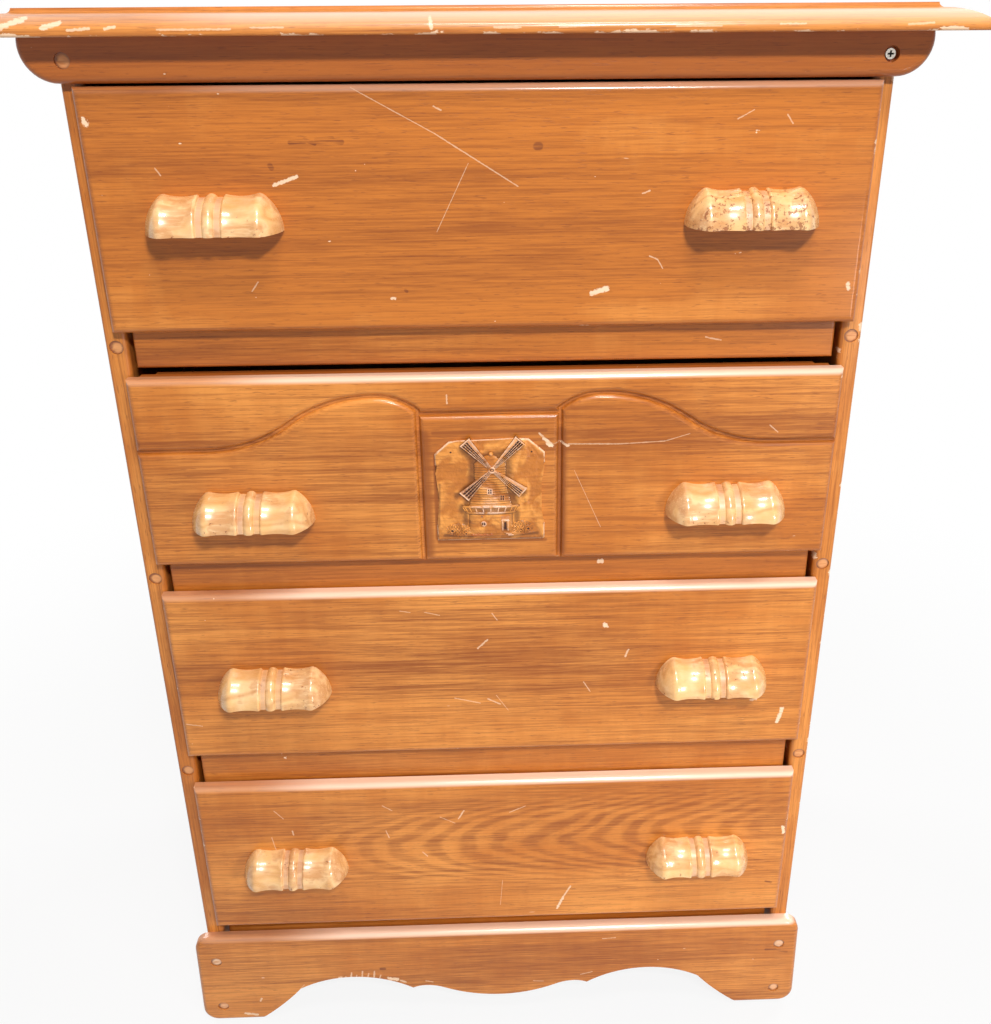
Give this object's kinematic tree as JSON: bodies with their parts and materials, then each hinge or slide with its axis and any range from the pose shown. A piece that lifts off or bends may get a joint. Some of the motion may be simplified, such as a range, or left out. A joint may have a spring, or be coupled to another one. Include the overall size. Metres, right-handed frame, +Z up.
{
  "type": "chest of drawers",
  "caption": "Tall narrow wooden chest with sliding overlay drawers, quarter-turned wood pulls, a moulded top and a scalloped base board.",
  "frame": {"origin": "on the floor, at the middle of the overall width and depth", "axes": "+X to the viewer's right, +Y to the back, +Z up; the drawers open towards -Y"},
  "size_m": [0.796, 0.4541, 1.1189],
  "materials": {
    "stained_wood": "satin",
    "pull_wood": "satin",
    "inner_wood": "satin",
    "steel": "satin",
    "glide": "satin"
  },
  "bodies": {
    "case": {"top_board": "stained_wood", "cornice_board": "stained_wood", "base_board": "stained_wood", "side_panel_left": "stained_wood", "side_panel_right": "stained_wood", "stile_left": "stained_wood", "stile_right": "stained_wood", "back_panel": "inner_wood", "rail_1": "stained_wood", "rail_2": "stained_wood", "rail_3": "stained_wood", "bottom_rail": "stained_wood", "runner_left_1": "inner_wood", "runner_left_2": "inner_wood", "runner_left_3": "inner_wood", "runner_left_4": "inner_wood", "runner_right_1": "inner_wood", "runner_right_2": "inner_wood", "runner_right_3": "inner_wood", "runner_right_4": "inner_wood", "wood_plugs": "pull_wood", "case_screws": "steel", "foot_glides": "glide"},
    "drawer_1": {"front_1": "stained_wood", "box_front_1": "inner_wood", "box_side_left_1": "inner_wood", "box_side_right_1": "inner_wood", "box_back_1": "inner_wood", "box_bottom_1": "inner_wood", "pull_left_1": "pull_wood", "pull_right_1": "pull_wood", "pull_screws_1": "steel"},
    "drawer_2": {"front_2": "stained_wood", "box_front_2": "inner_wood", "box_side_left_2": "inner_wood", "box_side_right_2": "inner_wood", "box_back_2": "inner_wood", "box_bottom_2": "inner_wood", "pull_left_2": "pull_wood", "pull_right_2": "pull_wood", "pull_screws_2": "steel", "plaque": "stained_wood"},
    "drawer_3": {"front_3": "stained_wood", "box_front_3": "inner_wood", "box_side_left_3": "inner_wood", "box_side_right_3": "inner_wood", "box_back_3": "inner_wood", "box_bottom_3": "inner_wood", "pull_left_3": "pull_wood", "pull_right_3": "pull_wood", "pull_screws_3": "steel"},
    "drawer_4": {"front_4": "stained_wood", "box_front_4": "inner_wood", "box_side_left_4": "inner_wood", "box_side_right_4": "inner_wood", "box_back_4": "inner_wood", "box_bottom_4": "inner_wood", "pull_left_4": "pull_wood", "pull_right_4": "pull_wood", "pull_screws_4": "steel"}
  },
  "joints": [
    {"name": "drawer_1_slide", "type": "slide", "parent": "case", "child": "drawer_1", "axis": [0, -1, 0], "range_m": [0, 0.3]},
    {"name": "drawer_2_slide", "type": "slide", "parent": "case", "child": "drawer_2", "axis": [0, -1, 0], "range_m": [0, 0.3]},
    {"name": "drawer_3_slide", "type": "slide", "parent": "case", "child": "drawer_3", "axis": [0, -1, 0], "range_m": [0, 0.3]},
    {"name": "drawer_4_slide", "type": "slide", "parent": "case", "child": "drawer_4", "axis": [0, -1, 0], "range_m": [0, 0.3]}
  ]
}
